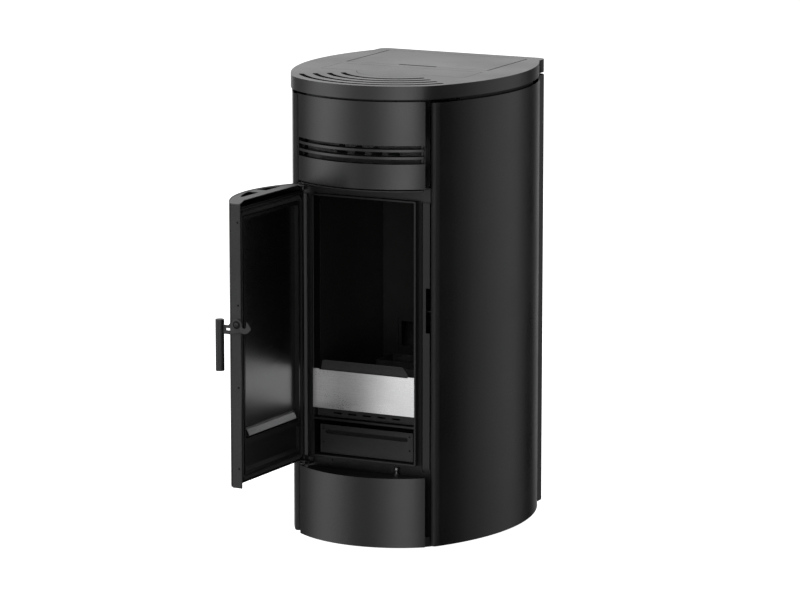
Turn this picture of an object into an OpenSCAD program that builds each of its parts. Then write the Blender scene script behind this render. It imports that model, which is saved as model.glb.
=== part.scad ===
// Free-standing wood-pellet stove with a D-shaped plan, bowed front and left-hung fire door.
// Frame: origin on the floor under the body's plan centre, +Z up, front faces -Y.
// The door is drawn open, as the stove is shown; a negative door angle closes it.

/* [Body] */
// Top of the cover above the floor
top_z = 1026.7; // [1020:0.1:1040]
// Height of the cover's rim
rim_h = 29; // [22:0.5:34]
// Thickness of the cover and lid plates
cover_t = 5; // [4.5:0.5:6]
// Sheet thickness of the outer panels
sheet = 1.6; // [1.2:0.1:2.5]
// Inset of the outer panels below the cover's edge
panel_inset = 3; // [2:0.5:5]
// Bottom edge of the outer panels above the floor
skirt_z = 10; // [8:1:20]

/* [Cover slots] */
// Radius of the outermost air slot
slot_r = 214; // [206:1:218]
// Pitch between the curved air slots
slot_pitch = 31; // [28:0.5:32]
// Width of each air slot
slot_w = 12; // [6:0.5:16]

/* [Door] */
// Bottom edge of the door skin
door_z0 = 173; // [171:0.5:176]
// Top edge of the door skin
door_z1 = 793; // [791:0.5:793]
// Angle at which the door stands open
door_open = 93; // [0:1:105]
// Radius of the hinge pins
hinge_r = 4; // [3:0.5:5]

// Half width of the fire window
win_x = 98; // [70:1:100]
// Bottom and top of the fire window
win_z0 = 304; // [300:1:360]
win_z1 = 742; // [600:1:744]

/* [Latch] */
// Height of the lever's pivot
latch_z = 531.5; // [530:0.5:532]
// Length of the tubular handle
handle_l = 112; // [80:1:140]
// Radius of the tubular handle
handle_r = 9.5; // [7:0.5:10]

/* [Ash handling] */
// Half width of the bright ash pan front
pan_front_hw = 123.7; // [112:0.1:124]
// Top edge of the bright ash pan front
pan_front_z1 = 383.1; // [375:0.1:388]

/* [Ducts] */
// Outer radius of the flue spigot
flue_r = 40; // [38:0.5:45]
// Outer radius of the air inlet
inlet_r = 25; // [20:0.5:27]

/* [Hidden] */
$fn = 96;

// plan outline: three tangent arcs a side, then a narrower straight rear part
c1 = [0, -40];         r1 = 250; u1 = [0.6, -0.8];
c2 = [70.2, -133.6];   r2 = 133; u2 = [0.8432, -0.5376];
c3 = [-203.84, 41.12]; r3 = 458; rear_a = 27;
rear_hw = 206.5; rear_y = 287; rear_c = 22;
c3s = [-212.272, 46.496]; r3s = 465; // side panel arc, tangent to the second arc at u2
door_hw = 152;        // half width of the door skin
panel_hw = 155.5;     // half width of the fixed front panels
pr = r1 - panel_inset; // front panel radius
da = asin(door_hw / pr);
pa = asin(panel_hw / pr);
lgap = 2;             // degrees by which the fixed front panels stop short on the hinge side
up_z0 = 802.5; up_z1 = 992.3; // upper front panel
lo_z1 = 165;                  // lower front panel top
band = [857, 867.4, 873.1, 883.5, 889.1, 897.4]; // louvre band edges
plate_y = -205;       // front face of the front plate
rim_y = -220;         // front edge of the door rim
op_x = 122; op_z0 = 189; op_z1 = 767; // clear opening
hx = -143; hy = -228; // door hinge axis
lid_y0 = 42.8; lid_y1 = 251.5; lid_hw = 171; lid_py = 248; lid_pz = top_z - cover_t / 2;
pot_z = 379;
lx0 = 153; lx1 = 156.5; ly = -217; // latch lever plane and pivot, door closed
bar_z = 528.5; bar_y = -198.7;       // strike bar
ex = [45, 220];       // exhaust fan axis, x and z
bl = [168.5, 95];       // blower axis, y and z
aug = [150, 575];     // a point on the auger axis, y and z

black = [0.10, 0.10, 0.105];
dark = [0.06, 0.06, 0.065];
textured = [0.17, 0.17, 0.175];
steel = [0.75, 0.76, 0.77];
galv = [0.55, 0.56, 0.57];

// ---------- shapes in the plane ----------
module sector(c, r, a0, a1) {
  am = (a0 + a1) / 2;
  intersection() {
    translate(c) circle(r, $fn = 180);
    polygon([c, c + 2 * r * [cos(a0), sin(a0)], c + 3 * r * [cos(am), sin(am)], c + 2 * r * [cos(a1), sin(a1)]]);
  }
}
// ring between two rays, each given as a direction
module arc(c, ri, ro, v0, v1) {
  difference() {
    intersection() {
      translate(c) circle(ro, $fn = 180);
      polygon([c, c + 1000 * v0, c + 1000 * (v0 + v1), c + 1000 * v1]);
    }
    if (ri > 0) translate(c) circle(ri, $fn = 180);
  }
}
module ring_sector(c, ri, ro, a0, a1) {
  difference() { sector(c, ro, a0, a1); translate(c) circle(ri, $fn = 180); }
}
module mirror_x() { children(); mirror([1, 0, 0]) children(); }
module rrect(x0, y0, x1, y1, r) {
  translate([x0 + r, y0]) square([x1 - x0 - 2 * r, y1 - y0]);
  translate([x0, y0 + r]) square([x1 - x0, y1 - y0 - 2 * r]);
  for (x = [x0 + r, x1 - r], y = [y0 + r, y1 - r]) translate([x, y]) circle(r, $fn = 32);
}
module plan(i) {
  arc(c1, 0, r1 - i, [-u1.x, u1.y], u1);
  mirror_x() {
    arc(c2, 0, r2 - i, u1, u2);
    arc(c3, 0, r3 - i, u2, [cos(rear_a), sin(rear_a)]);
  }
  rrect(-rear_hw + i, -60, rear_hw - i, rear_y - i, rear_c);
}
module plate(z0, z1) { translate([0, 0, z0]) linear_extrude(z1 - z0) children(); }
// extrude an x-z drawing along y, or a y-z drawing along x
module along_y(y0, y1) { translate([0, y1, 0]) rotate([90, 0, 0]) linear_extrude(y1 - y0) children(); }
module along_x(x0, x1) { translate([x0, 0, 0]) rotate([90, 0, 90]) linear_extrude(x1 - x0) children(); }
module rod_x(x0, x1, y, z, r) { translate([x0, y, z]) rotate([0, 90, 0]) cylinder(x1 - x0, r, r); }
module rod_y(y0, y1, x, z, r) { translate([x, y1, z]) rotate([90, 0, 0]) cylinder(y1 - y0, r, r); }
module box(a, b) { translate(a) cube(b - a); }
module at_door() { translate([hx, hy, 0]) rotate([0, 0, -door_open]) translate([-hx, -hy, 0]) children(); }

// ---------- base and outer casing ----------
foot_xy = [for (x = [-150, 150], y = [-150, 200]) [x, y]];
module chassis() {
  color(dark) difference() {
    union() {
      plate(8, 11) plan(14);
      plate(11, 30) difference() { plan(14); plan(16); }
      // pressed dish that reaches down to the floor
      cylinder(11, 90, 90);
      // a cup over each levelling foot
      for (p = foot_xy) translate([p.x, p.y, 8]) cylinder(14, 22, 22);
    }
    for (p = foot_xy) {
      translate([p.x, p.y, -1]) cylinder(19, 18, 18);
      translate([p.x, p.y, 10]) cylinder(20, 5.05, 5.05);
    }
    translate([0, 0, 3]) cylinder(30, 87, 87);
    // air openings under the blower
    for (i = [-3:3]) box([i * 26 - 5, 120, 6], [i * 26 + 5, 200, 12]);
  }
}
// rear corner posts standing on the base
module frame_posts() {
  color(dark) mirror_x() {
    box([176, 232, 11], [190, 234, 994]);
    box([188, 206, 11], [190, 234, 994]);
  }
}
// ring that carries the cover, deeper behind the side panels, with the hopper's rails
module cover_ring() {
  color(dark) {
    plate(994, top_z - cover_t) difference() { plan(12); plan(13.5); }
    plate(994, 995.5) difference() { plan(12.4); plan(24); }
    intersection() {
      plate(955, 995) difference() { plan(12); plan(13.5); }
      mirror_x() box([150, -150, 950], [250, 190, 1000]);
    }
    mirror_x() {
      box([161, 60, 1013], [186, 236, 1015]);
      box([184, 60, 994], [186, 236, 1014]);
      box([184, 70, 994], [232, 90, 995.5]);
      box([184, 150, 994], [218, 170, 995.5]);
    }
  }
}
module levelling_feet() {
  color([0.2, 0.2, 0.2]) for (p = foot_xy) translate([p.x, p.y, 0]) {
    cylinder(6, 16, 16); translate([0, 0, 6]) cylinder(34, 5, 5);
    translate([0, 0, 24]) cylinder(5, 9, 9, $fn = 6);
  }
}
// plan section of the right side panel, with its rounded front and rear returns
module side_plan() {
  af = -37.6; ar = 22; ri = r2 - panel_inset; ro = r3s; bf = 9; b = 6;
  arc(c2, ri - sheet, ri, [cos(af), sin(af)], u2);
  arc(c3s, ro - sheet, ro, u2, [cos(ar), sin(ar)]);
  cf = c2 + (ri - bf) * [cos(af), sin(af)];
  ring_sector(cf, bf - sheet, bf, af - 90, af + 4);
  cr = c3s + (ro - b) * [cos(ar), sin(ar)];
  ring_sector(cr, b - sheet, b, ar - 4, ar + 90);
}
// flat tabs that reach in to the base and to the cover's ring
module side_tabs() {
  for (t = [[20, 444.05], [970, 446.05]]) plate(t[0], t[0] + 1.6) difference() {
    arc(c3s, 300, r3s - 0.8, [cos(8), -sin(8)], [cos(8), sin(8)]);
    translate(c3) circle(t[1], $fn = 180);
  }
}
module side_panel() { color(black) { plate(skirt_z, 989) side_plan(); side_tabs(); } }
module front_ring(r0, ro, a, z0, z1) { plate(z0, z1) ring_sector(c1, r0, ro, -90 - a + lgap, -90 + a); }
module end_returns(r0, z0, z1) {
  plate(z0, z1) ring_sector(c1, r0, pr - 0.2, -90 + pa - 0.5, -90 + pa - 0.06);
  plate(z0, z1) ring_sector(c1, r0, pr - 0.2, -90 - pa + lgap + 0.06, -90 - pa + lgap + 0.5);
}
module upper_front_panel() {
  color(black) difference() {
    union() {
      front_ring(pr - sheet, pr, pa, up_z0, up_z1);
      end_returns(228, up_z0, up_z1);
      // folded ledges above and below the louvre band
      front_ring(232, pr - 0.2, pa - 0.3, band[5], band[5] + sheet);
      front_ring(232, pr - 0.2, pa - 0.3, band[0] - sheet, band[0]);
    }
    translate([0, 0, band[0]]) linear_extrude(band[5] - band[0])
      ring_sector(c1, 236, 260, -90 - pa + lgap + 0.35, -90 + pa - 0.35);
  }
}
module louvre_fins() {
  color(black) {
    for (k = [1, 3]) front_ring(226, pr - 0.6, pa - 0.6, band[k], band[k + 1]);
    plate(band[0] + 0.2, band[5] - 0.2) {
      ring_sector(c1, 226, 235.6, -90 + pa - 1.4, -90 + pa - 0.55);
      ring_sector(c1, 226, 235.6, -90 - pa + lgap + 0.55, -90 - pa + lgap + 1.4);
    }
  }
}
module lower_front_panel() {
  color(black) { front_ring(pr - sheet, pr, pa, skirt_z, lo_z1); end_returns(238.5, skirt_z, 157); }
}
module rear_panel() {
  color(black) difference() {
    union() {
      plate(14, 992) difference() {
        rrect(-rear_hw, 200, rear_hw, rear_y - 0.5, 20);
        rrect(-rear_hw + sheet, 190, rear_hw - sheet, rear_y - 0.5 - sheet, 18.4);
        translate([-260, 180]) square([520, 56]);
      }
      // foot that meets the base
      box([-150, 273, 14], [150, 286, 15.6]);
    }
    // flue, air inlet, mains inlet, switch and reset openings
    rod_y(270, 300, -78, 220, flue_r + 3);
    rod_y(270, 300, 140, 110, inlet_r + 3);
    box([-174, 270, 48], [-146, 300, 70]);
    box([-171.2, 270, 82.8], [-148.8, 300, 97.2]);
    rod_y(270, 300, -160, 118, 8);
    // louvre slots
    for (k = [0:11]) for (s = [-1, 1]) along_y(270, 300)
      rrect(s * 70 - 48, 700 + k * 18, s * 70 + 48, 706 + k * 18, 2.9);
    for (k = [0:7]) along_y(270, 300) rrect(20, 38 + k * 16, 90, 44 + k * 16, 2.9);
  }
}

// ---------- top ----------
module insert_plan(g) {
  rrect(-174 + g, -79 + g, 174 - g, 15.2 - g, 2);
  sector([0, -52], 90 - g, -160, -20);
}
module slots_plan() {
  for (k = [0:3]) {
    r = slot_r - slot_pitch * k;
    ring_sector([0, -52], r - slot_w / 2, r + slot_w / 2, -90 - 52.3, -90 + 52.3);
    mirror_x() translate([0, -52] + r * [sin(52.2), -cos(52.2)]) circle(slot_w / 2 - 0.05, $fn = 32);
  }
}
module top_cover() {
  z0 = top_z - rim_h; z1 = top_z - cover_t;
  color(black) difference() {
    union() {
      plate(z0, z1) difference() { plan(0); plan(2.5); }
      plate(z1, top_z) difference() {
        plan(0);
        insert_plan(0);
        translate([-174.2, lid_y0 - 0.8]) square([348.4, lid_y1 - lid_y0 + 1.8]);
        slots_plan();
      }
      // ledges under the insert and stiffeners beside the hopper
      plate(z1 - 2, z1) difference() { insert_plan(-8); insert_plan(7); }
    }
    // bores for the lid's pivot pins
    rod_x(-181, 181, lid_py, lid_pz, 1.55);
  }
}
module top_insert() {
  color([0.12, 0.12, 0.125]) plate(top_z - cover_t, top_z) insert_plan(0.9);
}
module tank_lid() {
  color([0.12, 0.12, 0.125]) difference() {
    union() {
      plate(top_z - cover_t, top_z) rrect(-lid_hw, lid_y0, lid_hw, lid_y1, 2);
      plate(top_z - cover_t - 2.5, top_z - cover_t)
        difference() { rrect(-140, 66, 140, 226, 4); rrect(-132, 74, 132, 218, 4); }
    }
    // finger slot at the front edge
    plate(top_z - 30, top_z + 1) rrect(-47, lid_y0 + 3.2, 47, lid_y0 + 10.2, 3);
    for (s = [-1, 1]) rod_x(s > 0 ? 163 : -172, s > 0 ? 172 : -163, lid_py, lid_pz, 1.5);
  }
}
module lid_pivot_pins() {
  color(steel) { rod_x(163, 179, lid_py, lid_pz, 1.5); rod_x(-179, -163, lid_py, lid_pz, 1.5); }
}

// ---------- fuel ----------
module hopper_xz(w, b, d) {
  polygon([[-w, 1015 + d], [-w, 900], [-b, 700], [-b, 600], [b, 600], [b, 700], [w, 900], [w, 1015 + d]]);
}
module hopper_yz(f, r, f2, r2, d) {
  polygon([[f, 1015 + d], [f, 900], [f2, 700], [f2, 600], [r2, 600], [r2, 700], [r, 900], [r, 1015 + d]]);
}
module auger_axis() { translate([0, aug[0], aug[1]]) rotate([45, 0, 0]) children(); }
module hopper() {
  color(galv) difference() {
    union() {
      intersection() {
        along_y(40, 260) hopper_xz(160, 34, 0);
        along_x(-200, 200) hopper_yz(58, 238, 126, 190, 0);
      }
      plate(1015, 1018) rrect(-166, 52, 166, 243, 4);
    }
    intersection() {
      along_y(40, 260) hopper_xz(158, 32, 10);
      along_x(-200, 200) hopper_yz(60, 236, 128, 188, 10);
    }
    box([-31.9, 128.1, 590], [31.9, 187.9, 702]);
    auger_axis() translate([0, 0, -200]) cylinder(400, 32, 32);
    auger_axis() translate([-60, -200, -200]) cube([120, 200, 400]);
  }
}
module auger_tube() {
  color(galv) difference() {
    union() {
      auger_axis() translate([0, 0, -76]) cylinder(176, 32, 32);
      // drop chute from the tube's upper end to the fire chamber
      along_x(-40, 40) polygon([[33, 380], [33, 464], [52, 596], [78, 640], [112, 606], [96, 520], [60, 400]]);
    }
    auger_axis() translate([0, 0, -78]) cylinder(175.5, 29.5, 29.5);
    along_x(-36.5, 36.5) polygon([[32, 384], [32, 460], [56, 596], [80, 634], [107, 606], [92, 522], [57, 404], [44, 384]]);
    // inlet under the hopper throat
    intersection() { auger_axis() translate([-31, 0, -40]) cube([62, 40, 80]); box([-31.9, 128.1, 560], [31.9, 187.9, 700]); }
  }
}
module auger_screw() {
  color([0.6, 0.6, 0.6]) auger_axis() {
    translate([0, 0, -92]) cylinder(184, 8, 8);
    translate([0, 0, -70]) linear_extrude(158, twist = -360 * 4, slices = 160, segments = 7, convexity = 8)
      polygon([for (a = [-9, -3, 3, 9]) 26.5 * [cos(a), sin(a)], for (a = [20, 0, -20]) 7.6 * [cos(a), sin(a)]]);
  }
}
module auger_motor() {
  color([0.35, 0.35, 0.37]) difference() {
    union() {
      auger_axis() {
        translate([0, 0, -80]) cylinder(4, 38, 38);
        translate([-38, -30, -112]) cube([76, 60, 32]);
        translate([0, 0, -150]) cylinder(38, 26, 26);
      }
    }
    auger_axis() translate([0, 0, -94]) cylinder(20, 8.05, 8.05);
    auger_axis() translate([0, 0, -78]) cylinder(10, 31, 31);
  }
}

// ---------- front of the body ----------
module shelf(z0, z1) {
  plate(z0, z1) intersection() {
    sector(c1, 243.5, -90 - 38.5, -90 + 38.5);
    translate([-150, -320]) square([300, 320 + plate_y]);
  }
}
module front_plate() {
  color(dark) difference() {
    union() {
      box([-155, plate_y, 11], [155, plate_y + 2, 800.5]);
      shelf(796.6, 798.6);
      shelf(158, 160);
      // screw heads below the rim
      for (p = [[-87, 175], [135, 173]]) rod_y(plate_y - 2.2, plate_y, p.x, p.y, 3.2);
    }
    box([-126.5, plate_y - 1, 184.5], [126.5, plate_y + 3, 771.4]);
    // hook window behind the strike column
    box([144, plate_y - 1, 478], [156, plate_y + 3, 585]);
    // hinge pins pass the shelves freely
    translate([hx, hy, 150]) cylinder(20, 9, 9);
    translate([hx, hy, 790]) cylinder(20, 9, 9);
  }
}
module vent_plate() {
  color(dark) difference() {
    union() { box([-150, -197, 798.6], [150, -195, 1000]); box([-150, -203, 800.5], [150, -195, 802.5]); }
    for (x = [-63, -21, 21, 63]) rod_y(-200, -190, x, 867, 14);
  }
}
module door_rim() {
  color(black) {
    along_y(rim_y, -190) difference() {
      rrect(-126.5, 184.5, 126.5, 771.4, 3);
      rrect(-op_x, op_z0, op_x, op_z1, 1.5);
    }
    box([-op_x, rim_y, 268], [op_x, -214, 273]);
  }
}
module column_plan() {
  translate([139.5, -208.6]) square([15.5, 3.6]);
  intersection() { translate([139.5, -202.6]) circle(6); translate([130, -209]) square([9.5, 4]); }
}
module strike_column() {
  color(black) difference() {
    plate(179, 768) column_plan();
    box([145.6, -212, 482], [157, -200, 581]);
  }
}
module hinge_column() {
  color(black) plate(179, 768) mirror([1, 0, 0]) {
    translate([142.5, -208.6]) square([12.5, 3.6]);
    translate([142.5, -210]) square([3.4, 2]);
  }
}
module strike_bracket() {
  color(steel) {
    box([141.5, -203, 493], [143.5, -174, 558]);
    box([141.5, -176, 493], [163.5, -174, 558]);
    box([161.5, -209, 493], [163.5, -176, 558]);
    box([134, -203, 493], [141.5, -201.2, 558]);
    rod_x(143.5, 161.5, bar_y, bar_z, 2.5);
  }
}
module hinge_brackets() {
  color(textured) {
    for (z = [166.2, 793.5]) {
      difference() {
        union() {
          box([-152, hy, z], [-130, plate_y, z + 2.8]);
          translate([hx, hy, z]) cylinder(2.8, 9, 9);
        }
      }
    }
    translate([hx, hy, 169]) cylinder(15, hinge_r, hinge_r);
    translate([hx, hy, 780]) cylinder(13.5, hinge_r, hinge_r);
    // fixing flanges on the plate
    box([-152, plate_y - 2.4, 166.2], [-130, plate_y, 178.6]);
    box([-152, plate_y - 2.4, 784], [-130, plate_y, 796.3]);
  }
}
module door_stud() {
  color(steel) translate([76, -210.3, 160]) {
    cylinder(12, 2.5, 2.5);
    translate([0, 0, 11]) cylinder(2, 4.6, 4.6);
    translate([0, 0, 13]) intersection() { sphere(4.6); translate([-5, -5, 0]) cube([10, 10, 3.4]); }
    cylinder(3, 5, 5, $fn = 6);
  }
}

// ---------- fire chamber ----------
module chamber(i, f) {
  polygon([[-127 - i, f], [-127 - i, -49 + i * 0.2], [-80 - i * 0.6, 30 + i], [80 + i * 0.6, 30 + i], [127 + i, -49 + i * 0.2], [127 + i, f]]);
}
module firebox_shell() {
  color(dark) difference() {
    plate(181, 778) chamber(3, -203);
    plate(184.3, 775) chamber(0, -210);
    box([-36.5, 20, 384], [36.5, 40, 460]);
    rod_y(20, 40, ex[0], ex[1], 28);
    rod_y(20, 40, 0, 330, 8.5);
    // smoke passage to the heat exchanger
    box([-60, -60, 770], [60, 0, 780]);
  }
}
module rear_liner() {
  color([0.16, 0.16, 0.165]) difference() {
    box([-74, 26, 292.5], [74, 30, 772]);
    box([-36.5, 20, 384], [36.5, 40, 460]);
    rod_y(20, 40, 0, 330, 8.5);
  }
  // raised frame round the chute mouth
  color(dark) {
    along_y(27.5, 30) difference() { rrect(-36.5, 384, 36.5, 460, 1); rrect(-29, 396, 29, 452, 1); }
  }
}
module side_liners() {
  color([0.12, 0.12, 0.125]) mirror_x()
    plate(292.5, 772) polygon([[126.5, -189], [126.5, -50], [79.5, 29.5], [74.4, 29.5], [74.4, 27], [121.5, -52], [121.5, -189]]);
}
module hearth_floor() {
  color(textured) difference() {
    union() {
      plate(290, 292.5) polygon([[-121, -204.5], [-121, -52], [-73, 25.5], [73, 25.5], [121, -52], [121, -204.5]]);
      box([-121, -204.5, 273.2], [121, -203, 290]);
    }
    plate(280, 300) rrect(-40, -52, 40, 10, 4);
    for (k = [-2:2]) along_y(-210, -200) rrect(k * 35.7 - 10, 281, k * 35.7 + 10, 284.4, 1.6);
  }
}
module heat_exchanger() {
  color(galv) {
    difference() {
      box([-95, -185, 778], [95, 25, 950]);
      box([-92.5, -182.5, 777], [92.5, 22.5, 947.5]);
      for (x = [-63, -21, 21, 63]) rod_y(-200, 40, x, 867, 15.5);
    }
    for (x = [-63, -21, 21, 63]) difference() { rod_y(-194.9, 35, x, 867, 15.5); rod_y(-200, 40, x, 867, 14); }
  }
}
module pot_holder() {
  color(dark) difference() {
    box([-52, -66, 292.5], [52, 22, 345]);
    box([-49, -63, 312], [49, 19, 350]);
    box([-44, -57, 290], [44, 13, 320]);
    rod_y(10, 30, 0, 330, 8.5);
  }
}
module burn_pot() {
  color([0.42, 0.42, 0.42]) difference() {
    box([-48, -62, 312], [48, 18, pot_z]);
    box([-45, -59, 311], [45, 15, pot_z + 1]);
    rod_y(10, 30, 0, 330, 7);
  }
}
module pot_grate() {
  color([0.42, 0.42, 0.42]) difference() {
    box([-45, -59, 312], [45, 15, 315]);
    for (x = [-3:3], y = [-2:2]) translate([x * 12, -22 + y * 13, 300]) cylinder(20, 2.5, 2.5, $fn = 24);
  }
}
module igniter() {
  color(steel) { rod_y(20, 112, 0, 330, 5); rod_y(33, 40, 0, 330, 12); rod_y(88, 104, 0, 330, 8); }
}
// ash pan: open box with a forward-leaning lip on its front wall
module ash_pan() {
  color(galv) {
    difference() {
      box([-104, -212, 293.5], [104, -80, 368]);
      box([-102.5, -210.5, 295], [102.5, -81.5, 369]);
    }
    intersection() {
      along_x(-120, 120) polygon([[-213.5, 293.5], [-213.5, 379.3], [-224.6, 403.9], [-223.2, 404.5], [-212, 379.6], [-212, 293.5]]);
      along_y(-230, -205) union() {
        polygon([[-108, 293], [-108, 380], [-101.5, 396], [101.5, 396], [108, 380], [108, 293]]);
        polygon([[-101.5, 396], [-98.7, 402.7], [-92, 405.2], [92, 405.2], [98.7, 402.7], [101.5, 396]]);
      }
    }
  }
}
module ash_pan_front() {
  color(steel) {
    difference() {
      box([-pan_front_hw, -221.6, 295.4], [pan_front_hw, -220.1, pan_front_z1]);
      box([-108.3, -223, pan_front_z1 - 2], [108.3, -219, pan_front_z1 + 1]);
    }
    for (x = [-80, 80]) rod_y(-220.1, -213.5, x, 332, 5);
  }
}
module ash_drawer() {
  color(galv) difference() {
    box([-108, -204.5, 192], [108, -20, 232]);
    box([-106.5, -203, 193.5], [106.5, -21.5, 245]);
  }
}
module drawer_front() {
  color(textured) {
    difference() {
      box([-113.5, -206, 191], [113.5, -204.5, 255.3]);
      for (x = [-105.5, 105.5], z = [215.5, 246.5]) rod_y(-210, -200, x, z, 1.6);
      along_y(-210, -200) rrect(-101, 234.8, 101, 243.8, 4.4);
    }
    // folded grip behind the slot, sloping inward and down, with closed ends
    along_x(-102.5, 102.5) polygon([[-204.5, 243.4], [-204.5, 245.4], [-202.9, 245.4], [-199, 236], [-199, 233.2], [-204.5, 233.2], [-204.5, 234.8], [-200.4, 234.8], [-200.4, 235.8], [-203.6, 243.4]]);
  }
}
module drawer_screws() {
  color(steel) for (x = [-105.5, 105.5], z = [215.5, 246.5]) {
    rod_y(-206, -204.5, x, z, 1.6); rod_y(-207.4, -206, x, z, 3.2);
  }
}

// ---------- fans and ducts ----------
module exhaust_housing() {
  color(galv) difference() {
    union() {
      rod_y(45, 105, ex[0], ex[1], 85);
      box([-130, 45, 168], [-20, 105, 272]);
      rod_y(33, 45, ex[0], ex[1], 31);
    }
    rod_y(47.5, 102.5, ex[0], ex[1], 82.5);
    box([-127.5, 47.5, 170.5], [0, 102.5, 269.5]);
    rod_y(30, 50, ex[0], ex[1], 28);
    rod_y(100, 110, -78, 220, flue_r - 1.6);
    rod_y(100, 110, ex[0], ex[1], 6);
  }
}
module exhaust_impeller() {
  color([0.6, 0.6, 0.6]) {
    rod_y(84, 87, ex[0], ex[1], 62);
    rod_y(70, 84, ex[0], ex[1], 14);
    rod_y(87, 118, ex[0], ex[1], 4);
    for (a = [0:40:320]) translate([ex[0], 0, ex[1]]) rotate([0, a, 0]) box([13, 54, -1], [60, 84, 1]);
  }
}
module exhaust_motor() {
  color([0.3, 0.3, 0.32]) difference() {
    union() { rod_y(105, 109, ex[0], ex[1], 48); rod_y(109, 170, ex[0], ex[1], 36); rod_y(170, 182, ex[0], ex[1], 20); }
    rod_y(104, 120, ex[0], ex[1], 4.05);
  }
}
module flue_pipe() {
  color(dark) difference() {
    union() { rod_y(105, 345, -78, 220, flue_r); rod_y(280, 284, -78, 220, flue_r + 2.5); }
    rod_y(100, 350, -78, 220, flue_r - 1.6);
  }
}
module blower_housing() {
  color(galv) difference() {
    union() {
      rod_x(-110, 60, bl[0], bl[1], 62);
      box([-110, 106.8, 95], [60, 153, 168]);
      rod_x(60, 104, bl[0], bl[1], 34);
    }
    rod_x(-108, 58, bl[0], bl[1], 60);
    box([-108, 108.8, 95], [58, 151, 170]);
    rod_x(-120, -100, bl[0], bl[1], 40);
    rod_x(50, 80, bl[0], bl[1], 4.05);
  }
}
module blower_impeller() {
  color([0.25, 0.25, 0.27]) {
    rod_x(-98, 76, bl[0], bl[1], 4);
    rod_x(-26, -23, bl[0], bl[1], 50);
    for (x = [-96, 46]) difference() { rod_x(x, x + 3, bl[0], bl[1], 50); rod_x(x - 1, x + 4, bl[0], bl[1], 40); }
    for (a = [0:20:340]) translate([0, bl[0], bl[1]]) rotate([a, 0, 0]) box([-93, -1, 41], [46, 1, 49.5]);
  }
}
module air_inlet_pipe() {
  color(dark) difference() {
    union() { rod_y(60, 322, 140, 110, inlet_r); rod_y(280, 284, 140, 110, inlet_r + 2.5); }
    rod_y(50, 330, 140, 110, inlet_r - 1.6);
  }
}
module control_board() {
  color([0.1, 0.3, 0.16]) box([-187, 60, 400], [-185, 200, 560]);
  color([0.2, 0.2, 0.2]) {
    for (k = [0:4]) box([-185, 70 + k * 24, 420], [-171, 86 + k * 24, 432]);
    box([-185, 80, 470], [-160, 125, 510]);
    box([-185, 140, 480], [-165, 185, 540]);
    for (z = [396, 552]) box([-188, 196, z], [-185, 214, z + 8]);
  }
}
module power_inlet() {
  color([0.08, 0.08, 0.08]) {
    difference() {
      union() {
        box([-173.8, 262, 48.2], [-146.2, 286.5, 69.8]);
        box([-180, 286.5, 44], [-140, 289, 129]);
        // holder of the reset button
        rod_y(265, 287, -160, 118, 7.6);
        // switch body
        box([-171, 270, 83], [-149, 287, 97]);
      }
      box([-171, 270, 51], [-149, 290, 67]);
      rod_y(266.5, 276.3, -160, 118, 6.35);
      rod_y(276, 290, -160, 118, 4.35);
      box([-169, 272, 84], [-151, 290, 96]);
      rod_x(-170.3, -149.7, 281, 90, 1.05);
    }
    for (x = [-167, -160, -153]) box([x - 1, 270, x == -160 ? 60 : 55], [x + 1, 284, x == -160 ? 65 : 60]);
  }
}
module power_switch() {
  color([0.5, 0.05, 0.05]) translate([0, 281, 90]) rotate([-7, 0, 0]) {
    along_x(-168.4, -151.6) polygon([[-4, -3.2], [-4, 3.2], [7.4, 4], [6.2, 0], [7.4, -4]]);
    rod_x(-170, -150, 0, 0, 1);
  }
}
module reset_button() {
  color([0.75, 0.1, 0.1]) { rod_y(276, 292, -160, 118, 4); rod_y(272, 276, -160, 118, 6); }
}

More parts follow.
